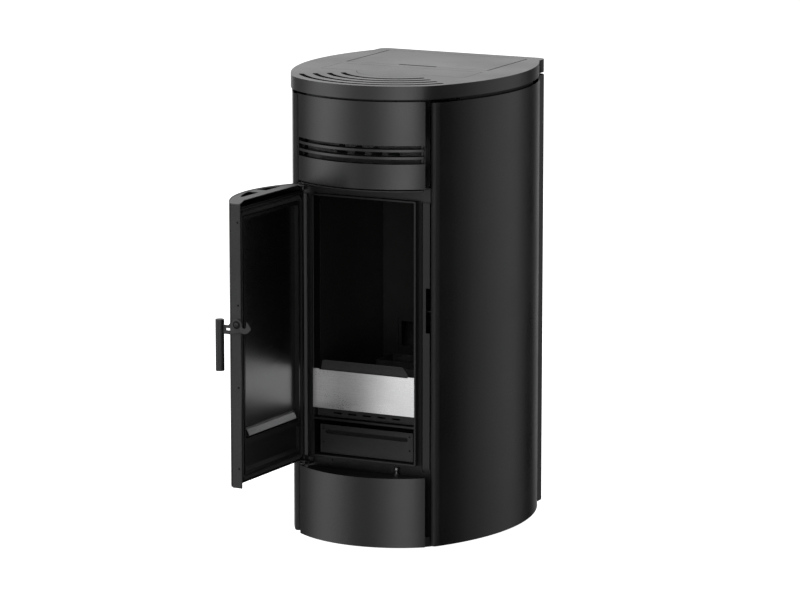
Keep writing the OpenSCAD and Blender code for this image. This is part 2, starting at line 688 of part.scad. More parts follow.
// ---------- door, drawn closed and swung open by at_door ----------
module door_skin() {
  color(black) at_door() difference() {
    plate(door_z0, door_z1) ring_sector(c1, pr - sheet, pr, -90 - da, -90 + da);
    // window onto the fire
    along_y(-300, -240) rrect(-win_x, win_z0, win_x, win_z1, 8);
  }
}
module door_back(z0, z1, m) {
  plate(z0, z1) intersection() {
    sector(c1, pr - sheet - 0.4, -90 - 39.5, -90 + 39.5);
    translate([-149 + m, -300]) square([298 - 2 * m, 300 - 215.5]);
  }
}
module door_frame() {
  color(textured) at_door() difference() {
    union() {
      difference() { door_back(door_z0 + 2, door_z1 - 1, 0); door_back(door_z0 + 4.5, door_z1 - 2.6, 2.5); }
      // perimeter flange, gasket channel and window surround
      box([-147, -232, 178.5], [139.5, -230.4, 778]);
      box([-133, -232, 179.5], [133, -222, 774.5]);
      // ribs deep in the gap along the free edge
      for (z = [230, 380, 560, 700]) box([132, -232, z], [147, -230, z + 12]);
      // tunnel between the skin's window and the glass
      intersection() {
        along_y(-290, -237) difference() {
          rrect(-win_x - 3.5, win_z0 - 3.5, win_x + 3.5, win_z1 + 3.5, 11);
          rrect(-win_x - 1.5, win_z0 - 1.5, win_x + 1.5, win_z1 + 1.5, 9);
        }
        plate(200, 770) sector(c1, pr - sheet - 0.4, -90 - 39.5, -90 + 39.5);
      }
      // posts that tie the tunnel to the surround
      mirror_x() for (z = [420, 600]) {
        box([win_x + 1.6, -240.4, z], [121, -237.4, z + 20]);
        box([118, -240.4, z], [121, -231, z + 20]);
      }
      // free-edge strip, standing proud of the frame
      box([149, -232.4, door_z0], [152, -209.3, 792.5]);
      box([146.5, -219, 520], [151, -213, 543]);
    }
    // gasket channel
    along_y(-230, -210) difference() { rrect(-131.5, 181, 131.5, 773, 3); rrect(-117, 195, 117, 759, 3); }
    // recesses inside the channel: window above, plain panel below
    along_y(-232.1, -210) rrect(-112, 296, 112, 752, 4);
    along_y(-230, -210) rrect(-112, 208.5, 112, 260, 3);
    along_y(-230, -210) rrect(-112, 274, 112, 300, 2);
    // sloping lower lip of the plain panel
    along_x(-112, 112) polygon([[-230, 208.5], [-221.9, 202.5], [-221.9, 212], [-230, 212]]);
    // top plate stops at the surround, with a diagonal corner at the free edge
    plate(door_z1 - 10, door_z1 + 1) polygon([[-126, -231], [100, -231], [145, -212], [145, -205], [-126, -205]]);
    plate(door_z0, 178.5) polygon([[-126, -231.5], [139, -231.5], [139, -205], [-126, -205]]);
    // hinge side stays clear of the column between the pins
    box([-150, -230, door_z0 + 12], [-145, -205, door_z1 - 12]);
    // two openings in the top plate
    plate(door_z1 - 10, door_z1) difference() {
      intersection() {
        translate([-14, -105]) circle(174.5, $fn = 180);
        translate([-94, -300]) square([160, 45.5]);
      }
      translate([-31, -300]) square([30, 100]);
    }
    // hinge bores and edge screws
    for (b = [[160, 26], [778.5, 20]]) translate([hx, hy, b[0]]) cylinder(b[1], hinge_r + 0.06, hinge_r + 0.06);
    for (z = [216, 394, 573, 752]) rod_x(140, 153, -215.5, z, 1.6);
    rod_x(140, 153, ly, latch_z, 3);
  }
}
module door_glass() {
  color([0.05, 0.05, 0.055, 0.85]) at_door() box([-117, -236.2, 288], [117, -232.2, 758]);
}
module glass_clips() {
  color(steel) at_door() for (z = [330, 520, 710], s = [-1, 1]) {
    box([min(s * 104, s * 124), -238.2, z - 12], [max(s * 104, s * 124), -236.4, z + 12]);
    rod_y(-240.4, -232, s * 121, z, 2.5);
  }
}
module air_deflector() {
  color(steel) at_door() along_x(-97, 102)
    polygon([[-230, 291], [-230, 295.5], [-228.8, 295.5], [-228.8, 292.2], [-226, 292.2], [-219.4, 279], [-220.5, 278.5], [-226.6, 291]]);
}
module door_gasket() {
  color([0.45, 0.44, 0.42]) at_door() along_y(-229.9, -221.9)
    difference() { rrect(-130.6, 181.9, 130.6, 772.1, 3); rrect(-118, 194.5, 118, 759.5, 3); }
}
module door_screws() {
  color(steel) at_door() {
    for (z = [216, 394, 573, 752]) { rod_x(146, 152, -215.5, z, 1.6); rod_x(152, 152.8, -215.5, z, 3); }
    rod_x(146, 157, ly, latch_z, 3); rod_x(156.7, 159, ly, latch_z, 7);
  }
}

// ---------- latch ----------
// lever profile in y-z about the pivot, +y towards the stove
module lever_plan() {
  difference() {
    union() {
      circle(12.7);
      // prongs to the handle
      translate([-35, -22]) square([14, 19.4]);
      polygon([[-21.5, -22], [-21.5, -2.6], [-18.2, 0.4], [-15.2, 4.6], [-12.2, 3.5], [0, -12.7], [10, -13.2], [10, -14.4], [-14, -22]]);
      // hook: a round C with a blunt outer corner and a pointed tip
      translate([18.3, -1.2]) circle(16.8);
      polygon([[26.4, -16.6], [31.4, -12.5], [35.4, -7.6], [33.3, -2.3], [25, -6]]);
    }
    // notch for the strike bar, opening upward past the pointed tip
    translate([18.3, -1.2]) circle(5.6, $fn = 48);
    polygon([[12.7, -1.2], [23.9, -1.2], [24.2, 8.2], [24.2, 20], [0, 20], [0, 12.7], [4.9, 11.7], [9, 9], [10.9, 6.5], [12.2, 3.5]]);
    polygon([[24.2, 8.2], [28.9, 4], [33.3, -2.3], [34.5, -4], [44, -4], [44, 24], [24.2, 24]]);
    // window between the two prongs
    translate([-27, -14]) square([12.2, 5.4]);
    circle(3.04);
    translate([-42.6 - 7, -60]) square([14, 90]);
  }
}
module latch_lever() {
  color(textured) at_door() difference() {
    translate([0, ly, latch_z]) along_x(lx0, lx1) lever_plan();
    translate([155, ly - 42.6, 400]) cylinder(200, handle_r, handle_r);
  }
  color(textured) at_door() difference() {
    rod_x(152.2, lx0, ly, latch_z, 8); rod_x(150, 154, ly, latch_z, 3.04);
  }
}
module latch_handle() {
  color(textured) at_door() translate([155, ly - 42.6, latch_z + 8.8 - handle_l]) {
    difference() {
      cylinder(handle_l, handle_r, handle_r);
      translate([0, 0, 3]) cylinder(handle_l - 6, handle_r - 2, handle_r - 2);
      translate([0, 0, handle_l - 37]) difference() { cylinder(1, 20, 20); translate([0, 0, -1]) cylinder(3, handle_r - 0.5, handle_r - 0.5); }
    }
  }
}

chassis();
frame_posts();
cover_ring();
levelling_feet();
mirror([1, 0, 0]) side_panel();  // left_side_panel
side_panel();  // right_side_panel
upper_front_panel();
louvre_fins();
lower_front_panel();
rear_panel();
top_cover();
top_insert();
tank_lid();
lid_pivot_pins();
hopper();
auger_tube();
auger_screw();
auger_motor();
front_plate();
vent_plate();
door_rim();
hinge_column();
strike_column();
strike_bracket();
hinge_brackets();
door_stud();
firebox_shell();
rear_liner();
side_liners();
hearth_floor();
heat_exchanger();
pot_holder();
burn_pot();
pot_grate();
igniter();
ash_pan();
ash_pan_front();
ash_drawer();
drawer_front();
drawer_screws();
exhaust_housing();
exhaust_impeller();
exhaust_motor();
flue_pipe();
blower_housing();
blower_impeller();
air_inlet_pipe();
control_board();
power_inlet();
power_switch();
reset_button();
door_skin();
door_frame();
door_glass();
glass_clips();
air_deflector();
door_gasket();
door_screws();
latch_lever();
latch_handle();
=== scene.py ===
import math

import bmesh
import bpy
from mathutils import Matrix, Vector


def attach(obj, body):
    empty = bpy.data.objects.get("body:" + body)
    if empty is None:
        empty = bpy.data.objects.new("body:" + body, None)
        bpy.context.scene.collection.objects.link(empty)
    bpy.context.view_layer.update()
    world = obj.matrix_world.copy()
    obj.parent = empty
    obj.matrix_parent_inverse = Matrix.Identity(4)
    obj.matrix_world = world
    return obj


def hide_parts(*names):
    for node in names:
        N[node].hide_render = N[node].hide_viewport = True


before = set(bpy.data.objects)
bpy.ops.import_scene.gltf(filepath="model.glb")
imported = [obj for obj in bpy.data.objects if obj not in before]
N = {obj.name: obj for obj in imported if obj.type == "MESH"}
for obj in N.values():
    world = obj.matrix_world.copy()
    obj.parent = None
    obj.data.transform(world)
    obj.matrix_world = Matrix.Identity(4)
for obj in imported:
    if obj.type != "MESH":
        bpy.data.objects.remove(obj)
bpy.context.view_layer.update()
scene = bpy.context.scene

# ---------------------------------------------------------------- materials


class Mat:
    """A principled material with its node tree at hand, in object coordinates (metres)."""

    def __init__(self, name, colour, rough, metal=0.0, spec=0.5):
        self.m = bpy.data.materials.new(name)
        self.m.use_nodes = True
        self.t = self.m.node_tree
        self.b = self.t.nodes["Principled BSDF"]
        self.out = self.t.nodes["Material Output"]
        self.b.inputs["Base Color"].default_value = (*colour, 1)
        self.b.inputs["Roughness"].default_value = rough
        self.b.inputs["Metallic"].default_value = metal
        self.b.inputs["Specular IOR Level"].default_value = spec
        self.coord = self.t.nodes.new("ShaderNodeTexCoord")
        self.normal = None

    def link(self, a, b):
        self.t.links.new(a, b)

    def place(self, scale=(1, 1, 1), rot=(0, 0, 0)):
        n = self.t.nodes.new("ShaderNodeMapping")
        n.inputs["Scale"].default_value = scale
        n.inputs["Rotation"].default_value = rot
        self.link(self.coord.outputs["Object"], n.inputs["Vector"])
        return n.outputs["Vector"]

    def noise(self, scale, detail=3.0, rough=0.5, vec=None, distortion=0.0):
        n = self.t.nodes.new("ShaderNodeTexNoise")
        n.inputs["Scale"].default_value = scale
        n.inputs["Detail"].default_value = detail
        n.inputs["Roughness"].default_value = rough
        n.inputs["Distortion"].default_value = distortion
        self.link(vec or self.coord.outputs["Object"], n.inputs["Vector"])
        return n.outputs["Fac"]

    def voronoi(self, scale, vec=None, feature="F1", out="Distance", randomness=1.0):
        n = self.t.nodes.new("ShaderNodeTexVoronoi")
        n.feature = feature
        n.inputs["Scale"].default_value = scale
        n.inputs["Randomness"].default_value = randomness
        self.link(vec or self.coord.outputs["Object"], n.inputs["Vector"])
        return n.outputs[out]

    def ramp(self, fac, *stops):
        n = self.t.nodes.new("ShaderNodeValToRGB")
        e = n.color_ramp.elements
        while len(e) > len(stops):
            e.remove(e[-1])
        while len(e) < len(stops):
            e.new(0.5)
        for el, (pos, col) in zip(e, stops):
            el.position = pos
            el.color = (*col, 1) if hasattr(col, "__len__") else (col, col, col, 1)
        self.link(fac, n.inputs["Fac"])
        return n.outputs["Color"]

    def math(self, op, a, b=None):
        n = self.t.nodes.new("ShaderNodeMath")
        n.operation = op
        for i, v in enumerate((a, b)):
            if v is None:
                continue
            if isinstance(v, (int, float)):
                n.inputs[i].default_value = v
            else:
                self.link(v, n.inputs[i])
        return n.outputs[0]

    def mix(self, fac, a, b, blend="MIX"):
        n = self.t.nodes.new("ShaderNodeMix")
        n.data_type = "RGBA"
        n.blend_type = blend
        for sock, v in ((n.inputs[0], fac), (n.inputs[6], a), (n.inputs[7], b)):
            if isinstance(v, (int, float)):
                sock.default_value = v
            elif isinstance(v, tuple):
                sock.default_value = (*v, 1)
            else:
                self.link(v, sock)
        return n.outputs[2]

    def span(self, fac, lo, hi, a=0.0, b=1.0):
        n = self.t.nodes.new("ShaderNodeMapRange")
        for i, v in enumerate((lo, hi, a, b)):
            n.inputs[1 + i].default_value = v
        self.link(fac, n.inputs[0])
        return n.outputs[0]

    def bump(self, height, strength, distance):
        n = self.t.nodes.new("ShaderNodeBump")
        n.inputs["Strength"].default_value = strength
        n.inputs["Distance"].default_value = distance
        self.link(height, n.inputs["Height"])
        if self.normal is not None:
            self.link(self.normal, n.inputs["Normal"])
        self.normal = n.outputs["Normal"]
        self.link(self.normal, self.b.inputs["Normal"])

    def base(self, sock):
        self.link(sock, self.b.inputs["Base Color"])

    def rough(self, sock):
        self.link(sock, self.b.inputs["Roughness"])


def powder(name, lo, hi, rough=0.42, grain=1100.0, depth=0.00006, spec=0.5, coat=0.0):
    """Powder coat: fine orange peel, faint cloudiness, slightly polished high spots and a little dust."""
    k = Mat(name, hi, rough, 0.0, spec)
    cloud = k.noise(5.0, 4.0, 0.55)
    fine = k.noise(grain, 2.0, 0.5)
    k.base(k.mix(k.span(cloud, 0.3, 0.7), lo, hi))
    r = k.math("ADD", k.span(cloud, 0.3, 0.7, rough - 0.035, rough + 0.035), k.span(fine, 0.35, 0.65, -0.03, 0.03))
    k.rough(r)
    k.bump(fine, 0.35, depth)
    k.bump(k.noise(grain * 0.22, 1.0, 0.4), 0.25, depth * 1.4)
    if coat:
        k.b.inputs["Coat Weight"].default_value = coat
        k.b.inputs["Coat Roughness"].default_value = 0.25
    return k.m


def textured(name, lo, hi, rough=0.55, grain=900.0, depth=0.00018, spec=0.5, metal=0.0):
    """Coarse sandy powder coat: grains that stand up, with lighter tips."""
    k = Mat(name, hi, rough, metal, spec)
    grains = k.voronoi(grain)
    fine = k.noise(grain * 1.7, 3.0, 0.6)
    cloud = k.noise(7.0, 4.0, 0.55)
    tips = k.math("MULTIPLY", k.span(grains, 0.05, 0.6, 1.0, 0.0), k.span(fine, 0.3, 0.7))
    k.base(k.mix(tips, lo, hi))
    k.rough(k.math("ADD", k.span(tips, 0, 1, rough + 0.08, rough - 0.1), k.span(cloud, 0.3, 0.7, -0.03, 0.03)))
    k.bump(tips, 0.6, depth)
    return k.m


def brushed(name, lo, hi, rough=0.28, stretch=(6, 420, 420), speck=1500.0):
    """Stainless sheet: long fine scratches along X with a light random grain."""
    k = Mat(name, hi, rough, 1.0, 0.5)
    lines = k.noise(3.0, 5.0, 0.65, vec=k.place(stretch))
    speckle = k.noise(speck, 2.0, 0.6)
    cloud = k.noise(9.0, 3.0, 0.5)
    both = k.math("ADD", k.math("MULTIPLY", lines, 0.55), k.math("MULTIPLY", speckle, 0.45))
    k.base(k.mix(k.span(both, 0.35, 0.65), lo, hi))
    k.rough(k.math("ADD", k.span(both, 0.3, 0.7, rough - 0.06, rough + 0.1), k.span(cloud, 0.3, 0.7, -0.03, 0.04)))
    k.bump(both, 0.25, 0.00003)
    return k.m


def zinc(name, lo, hi, rough=0.42):
    """Zinc-coated sheet: crystal spangle and dull streaks."""
    k = Mat(name, hi, rough, 0.85, 0.5)
    spangle = k.voronoi(75.0, out="Color")
    cell = k.t.nodes.new("ShaderNodeSeparateColor")
    k.link(spangle, cell.inputs[0])
    streak = k.noise(2.0, 5.0, 0.6, vec=k.place((40, 40, 6)))
    f = k.math("ADD", k.math("MULTIPLY", cell.outputs[0], 0.6), k.math("MULTIPLY", streak, 0.4))
    k.base(k.mix(f, lo, hi))
    k.rough(k.span(f, 0.2, 0.8, rough + 0.08, rough - 0.08))
    k.bump(streak, 0.1, 0.00005)
    return k.m


def cast(name, lo, hi, rough=0.75, metal=0.0, depth=0.0005, grain=260.0):
    """Sand-cast or moulded surface: pores and soft mottling."""
    k = Mat(name, hi, rough, metal, 0.35)
    big = k.noise(22.0, 5.0, 0.6)
    fine = k.noise(grain, 4.0, 0.65)
    pores = k.span(k.voronoi(grain * 0.7), 0.0, 0.35, 0.0, 1.0)
    k.base(k.mix(k.span(k.math("MULTIPLY", big, fine), 0.15, 0.4), lo, hi))
    k.rough(k.span(fine, 0.3, 0.7, rough - 0.08, rough + 0.1))
    k.bump(fine, 0.35, depth)
    k.bump(pores, 0.25, depth * 0.6)
    return k.m


def moulded(name, lo, hi, rough=0.45):
    """Moulded plastic: fine spark-eroded grain."""
    k = Mat(name, hi, rough, 0.0, 0.5)
    fine = k.noise(1600.0, 2.0, 0.5)
    k.base(k.mix(k.noise(14.0, 3.0, 0.5), lo, hi))
    k.rough(k.span(fine, 0.3, 0.7, rough - 0.05, rough + 0.08))
    k.bump(fine, 0.2, 0.00004)
    return k.m


def ceramic(name):
    """Dark ceramic glass: smoked body, lighter in blotches towards the bottom as a painted highlight, rougher there,
    with a fine grain.
    """
    k = Mat(name, (0.004, 0.004, 0.0045), 0.33, 0.0, 1.0)
    sep = k.t.nodes.new("ShaderNodeSeparateXYZ")
    k.link(k.coord.outputs["Object"], sep.inputs[0])
    low = k.span(sep.outputs["Z"], 0.29, 0.62, 1.0, 0.0)
    haze = k.noise(9.0, 5.0, 0.6)
    grain = k.noise(900.0, 3.0, 0.6)
    # painted highlight: the base colour lightens in blotches towards the bottom of the pane
    painted_highlight_mask = k.math("MULTIPLY", low, k.span(haze, 0.35, 0.7, 0.4, 1.0))
    k.base(k.mix(painted_highlight_mask, (0.0020, 0.0020, 0.0022), (0.0110, 0.0108, 0.0105)))
    r = k.span(painted_highlight_mask, 0, 1, 0.30, 0.38)
    mottle = k.noise(420.0, 2.0, 0.5)
    k.rough(k.math("ADD", r, k.math("ADD", k.span(grain, 0.3, 0.7, -0.05, 0.05), k.span(mottle, 0.3, 0.7, -0.05, 0.05))))
    k.bump(grain, 0.25, 0.00005)
    k.bump(mottle, 0.3, 0.00008)
    return k.m


def sandy_frame(name):
    """Door frame: coarse grey coat on the proud free edge, a darker copy of it on the inner faces as painted shade, and
    a flat light grey above 0.79 m as a painted highlight.
    """
    k = Mat(name, (0.03, 0.03, 0.03), 0.5, 0.0, 0.5)
    sep = k.t.nodes.new("ShaderNodeSeparateXYZ")
    k.link(k.coord.outputs["Object"], sep.inputs[0])
    edge = k.span(sep.outputs["Y"], -0.5186, -0.5181, 1.0, 0.0)
    # painted highlight: above z 0.79 m the frame turns a flat light grey
    top = k.span(sep.outputs["Z"], 0.7900, 0.7910, 0.0, 1.0)
    grains = k.voronoi(900.0)
    fine = k.noise(1500.0, 3.0, 0.6)
    cloud = k.noise(7.0, 4.0, 0.55)
    tips = k.math("MULTIPLY", k.span(grains, 0.05, 0.6, 1.0, 0.0), k.span(fine, 0.3, 0.7))
    # painted shade: a darker copy of the sandy coat for the recessed inner faces
    painted_shade_inner = k.mix(tips, (0.0020, 0.0020, 0.0021), (0.0090, 0.0090, 0.0093))
    light = k.mix(tips, (0.010, 0.010, 0.0103), (0.066, 0.066, 0.067))
    c = k.mix(edge, painted_shade_inner, light)
    k.base(k.mix(top, c, (0.060, 0.060, 0.061)))
    k.rough(k.math("ADD", k.span(tips, 0, 1, 0.52, 0.40), k.span(cloud, 0.3, 0.7, -0.03, 0.03)))
    k.bump(tips, 0.5, 0.00014)
    return k.m


def woven(name, lo, hi):
    """Fibreglass rope: crossed yarns, fuzz and heat staining."""
    k = Mat(name, hi, 0.85, 0.0, 0.25)
    yarn = k.noise(620.0, 3.0, 0.6)
    stain = k.noise(14.0, 4.0, 0.6)
    k.base(k.mix(k.span(stain, 0.35, 0.7), lo, hi))
    k.rough(k.span(yarn, 0.3, 0.7, 0.78, 0.95))
    k.bump(yarn, 0.7, 0.0006)
    k.b.inputs["Sheen Weight"].default_value = 0.08
    return k.m


def side_coat(name):
    """Side panels: satin powder coat, duller and darker on the tight front return."""
    k = Mat(name, (0.0036, 0.0036, 0.0037), 0.30, 0.0, 0.5)
    sep = k.t.nodes.new("ShaderNodeSeparateXYZ")
    k.link(k.coord.outputs["Object"], sep.inputs[0])
    bend = k.span(sep.outputs["Y"], -0.2110, -0.2050, 1.0, 0.0)
    cloud = k.noise(5.0, 4.0, 0.55)
    fine = k.noise(1100.0, 2.0, 0.5)
    k.base(k.mix(k.span(cloud, 0.3, 0.7), (0.0022, 0.0022, 0.0023), (0.0036, 0.0036, 0.0037)))
    r = k.math("ADD", k.span(cloud, 0.3, 0.7, 0.265, 0.335), k.span(fine, 0.35, 0.65, -0.03, 0.03))
    k.rough(k.math("ADD", r, k.math("MULTIPLY", bend, 0.34)))
    k.bump(fine, 0.35, 0.00005)
    k.bump(k.noise(240.0, 1.0, 0.4), 0.25, 0.00007)
    return k.m


def vent_coat(name):
    """Vent plate: grey in the middle, with painted shade taking it near black towards each end."""
    k = Mat(name, (0.03, 0.03, 0.0303), 0.5, 0.0, 0.4)
    sep = k.t.nodes.new("ShaderNodeSeparateXYZ")
    k.link(k.coord.outputs["Object"], sep.inputs[0])
    # painted shade: the plate goes near black towards each end, past |X| 0.118 m
    painted_shade_ends = k.span(k.math("ABSOLUTE", sep.outputs["X"]), 0.118, 0.136, 1.0, 0.0)
    cloud = k.noise(5.0, 4.0, 0.55)
    fine = k.noise(800.0, 2.0, 0.5)
    mid = k.mix(k.span(cloud, 0.3, 0.7), (0.055, 0.055, 0.0555), (0.080, 0.080, 0.0806))
    k.base(k.mix(painted_shade_ends, (0.0020, 0.0020, 0.0021), mid))
    k.rough(k.math("ADD", k.span(cloud, 0.3, 0.7, 0.47, 0.54), k.span(fine, 0.35, 0.65, -0.03, 0.03)))
    k.bump(fine, 0.35, 0.00009)
    return k.m


def header_plate(name):
    """Front plate: a lighter header above the opening, painted light that weakens towards -X, and a darker coat below
    it, painted shade.
    """
    k = Mat(name, (0.004, 0.004, 0.0041), 0.44, 0.0, 0.4)
    sep = k.t.nodes.new("ShaderNodeSeparateXYZ")
    k.link(k.coord.outputs["Object"], sep.inputs[0])
    # painted light on the header above z 0.77 m, weaker towards -X; painted shade below it
    head = k.math("MULTIPLY", k.span(sep.outputs["Z"], 0.7690, 0.7730, 0.0, 1.0), k.span(sep.outputs["X"], -0.14, 0.12, 0.35, 1.0))
    cloud = k.noise(6.0, 4.0, 0.55)
    fine = k.noise(900.0, 2.0, 0.5)
    # shaded and lit copies of one coat: the darker one below the header, the lighter one on it
    low = k.mix(k.span(cloud, 0.3, 0.7), (0.0026, 0.0026, 0.0027), (0.0044, 0.0044, 0.0046))
    high = k.mix(k.span(cloud, 0.3, 0.7), (0.0240, 0.0240, 0.0243), (0.0300, 0.0300, 0.0304))
    k.base(k.mix(head, low, high))
    k.rough(k.math("ADD", k.span(cloud, 0.3, 0.7, 0.40, 0.46), k.span(fine, 0.35, 0.65, -0.03, 0.03)))
    k.bump(fine, 0.35, 0.00006)
    return k.m


M = {
    "plate": header_plate("front_plate_black"),
    "side": side_coat("side_satin_black"),
    "panel": powder("panel_satin_black", (0.0022, 0.0022, 0.0023), (0.0036, 0.0036, 0.0037), 0.30, 1100.0, 0.00005),
    "cover": powder("cover_satin_grey", (0.0110, 0.0110, 0.0113), (0.0160, 0.0160, 0.0164), 0.34, 1000.0, 0.00006),
    "screw": cast("screw_black_oxide", (0.0012, 0.0012, 0.0012), (0.0030, 0.0030, 0.0031), 0.8, 0.0, 0.0001, 900.0),
    "inner": powder("inner_matt_black", (0.0030, 0.0030, 0.0031), (0.0050, 0.0050, 0.0052), 0.5, 800.0, 0.00009, spec=0.30),
    "vent": vent_coat("vent_matt_grey"),
    "rear": powder("rear_satin_black", (0.0060, 0.0060, 0.0062), (0.0095, 0.0095, 0.0098), 0.38, 900.0, 0.00007),
    "rim": powder("rim_black", (0.0035, 0.0035, 0.0036), (0.0058, 0.0058, 0.0060), 0.36, 900.0, 0.00008, spec=0.42),
    "fire": cast("firebox_scale_black", (0.0016, 0.0015, 0.0015), (0.0038, 0.0036, 0.0034), 0.85, 0.0, 0.0004, 180.0),
    "liner": cast("liner_moulded_black", (0.0055, 0.0054, 0.0053), (0.012, 0.0118, 0.0115), 0.7, 0.0, 0.0003, 300.0),
    "pot": cast("pot_cast_grey", (0.022, 0.022, 0.022), (0.065, 0.065, 0.065), 0.55, 0.4, 0.0004, 420.0),
    "frame": sandy_frame("frame_sandy"),
    "lever": textured("lever_sandy_grey", (0.016, 0.016, 0.0164), (0.070, 0.070, 0.071), 0.42, 900.0, 0.00012),
    "handle": textured("handle_sandy_grey", (0.0090, 0.0090, 0.0093), (0.045, 0.045, 0.046), 0.42, 1000.0, 0.00012),
    "pan": textured("pan_sandy_grey", (0.042, 0.042, 0.0425), (0.150, 0.150, 0.152), 0.5, 900.0, 0.00012),
    "drawer": textured("drawer_sandy_black", (0.010, 0.010, 0.0103), (0.038, 0.038, 0.039), 0.46, 900.0, 0.00012),
    "stainless": brushed("stainless_brushed", (0.74, 0.74, 0.745), (0.96, 0.96, 0.965), 0.30, speck=520.0),
    "deflector": brushed("deflector_dull", (0.17, 0.17, 0.172), (0.30, 0.30, 0.302), 0.40, (420, 6, 420)),
    "zinc": zinc("zinc_sheet", (0.28, 0.285, 0.29), (0.46, 0.47, 0.48)),
    "bolt": brushed("zinc_bolt", (0.20, 0.20, 0.202), (0.40, 0.40, 0.402), 0.35, (60, 60, 60), 900.0),
    "glass": ceramic("ceramic_glass_smoked"),
    "rope": woven("rope_fibreglass", (0.0022, 0.0021, 0.0020), (0.0075, 0.0073, 0.0070)),
    "motor": powder("motor_black", (0.016, 0.016, 0.017), (0.028, 0.028, 0.029), 0.48, 700.0, 0.0001),
    "black": moulded("moulded_black", (0.0040, 0.0040, 0.0043), (0.0085, 0.0085, 0.0089)),
    "red": moulded("moulded_red", (0.20, 0.008, 0.008), (0.30, 0.014, 0.012), 0.35),
    "board": moulded("board_green", (0.008, 0.050, 0.022), (0.014, 0.078, 0.034), 0.35),
    "alu": cast("fan_cast_aluminium", (0.30, 0.31, 0.32), (0.48, 0.49, 0.50), 0.45, 0.9, 0.0002, 300.0),
    "fan": moulded("fan_black", (0.010, 0.010, 0.011), (0.018, 0.018, 0.019), 0.5),
}

LOOK = {
    "chassis": "inner", "frame_posts": "inner", "cover_ring": "inner", "levelling_feet": "motor", "left_side_panel": "side", "right_side_panel": "side",
    "upper_front_panel": "panel", "louvre_fins": "panel", "lower_front_panel": "panel", "rear_panel": "rear",
    "top_cover": "cover", "top_insert": "cover", "tank_lid": "cover", "lid_pivot_pins": "bolt",
    "hopper": "zinc", "auger_tube": "inner", "auger_screw": "zinc", "auger_motor": "motor",
    "front_plate": "plate", "vent_plate": "vent", "door_rim": "rim", "hinge_column": "rim", "strike_column": "rim",
    "strike_bracket": "inner", "hinge_brackets": "rim", "door_stud": "bolt", "firebox_shell": "fire",
    "rear_liner": "liner", "side_liners": "fire", "hearth_floor": "drawer",
    "heat_exchanger": "zinc", "pot_holder": "pot", "burn_pot": "pot", "pot_grate": "pot", "igniter": "bolt", "ash_pan": "pan",
    "ash_pan_front": "stainless", "ash_drawer": "drawer", "drawer_front": "drawer", "exhaust_housing": "zinc",
    "exhaust_impeller": "alu", "exhaust_motor": "motor", "flue_pipe": "inner", "blower_housing": "motor",
    "blower_impeller": "fan", "air_inlet_pipe": "inner", "control_board": "board", "power_inlet": "black",
    "power_switch": "red", "reset_button": "red", "door_skin": "panel", "door_frame": "frame", "door_glass": "glass",
    "glass_clips": "bolt", "air_deflector": "deflector", "latch_lever": "lever", "latch_handle": "handle",
}

# edge rounding in metres
ROUND = {
    "top_cover": 0.0012, "top_insert": 0.0006, "tank_lid": 0.0008, "left_side_panel": 0.0004, "right_side_panel": 0.0004,
    "upper_front_panel": 0.0005, "lower_front_panel": 0.0005, "door_skin": 0.0005, "door_frame": 0.0005,
    "door_rim": 0.0006, "hinge_column": 0.0006, "strike_column": 0.0006, "ash_pan_front": 0.0004, "ash_pan": 0.0004,
    "drawer_front": 0.0004, "latch_lever": 0.0006, "latch_handle": 0.0012, "burn_pot": 0.0008, "pot_holder": 0.0008,
    "auger_screw": 0.0, "control_board": 0.0002, "rear_panel": 0.0003, "louvre_fins": 0.0008,
}


def finish_node(o, look, width):
    o.data.materials.clear()
    o.data.materials.append(M[look])
    o.data.polygons.foreach_set("use_smooth", [True] * len(o.data.polygons))
    w = o.modifiers.new("weld", "WELD")
    w.merge_threshold = 0.00001
    if width > 0:
        b = o.modifiers.new("edge", "BEVEL")
        b.width = width
        b.segments = 2
        b.limit_method = "ANGLE"
        b.angle_limit = math.radians(40)
        b.use_clamp_overlap = True
        b.harden_normals = False
    n = o.modifiers.new("normals", "WEIGHTED_NORMAL")
    n.keep_sharp = False
    n.weight = 80


for name, o in N.items():
    finish_node(o, LOOK.get(name, "inner"), ROUND.get(name, 0.0003))

# ---------------------------------------------------------------- helpers for new pieces
HX, HY = -0.143, -0.228
OPEN = math.radians(-93.0)
C, S = math.cos(OPEN), math.sin(OPEN)


def D(x, y, z):
    """A point of the closed door, in metres, carried to where the open door has it."""
    dx, dy = x - HX, y - HY
    return Vector((HX + dx * C - dy * S, HY + dx * S + dy * C, z))


def new_piece(name, bm, mat, body, smooth=True):
    me = bpy.data.meshes.new(name)
    bmesh.ops.recalc_face_normals(bm, faces=bm.faces)
    bm.to_mesh(me)
    bm.free()
    o = bpy.data.objects.new(name, me)
    scene.collection.objects.link(o)
    me.materials.append(M[mat])
    if smooth:
        me.polygons.foreach_set("use_smooth", [True] * len(me.polygons))
        n = o.modifiers.new("normals", "WEIGHTED_NORMAL")
        n.keep_sharp = False
    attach(o, body)
    return o


def torx(a, r):
    """Radius of a six-lobed recess at angle a."""
    return r * (0.86 + 0.14 * math.cos(6 * a))


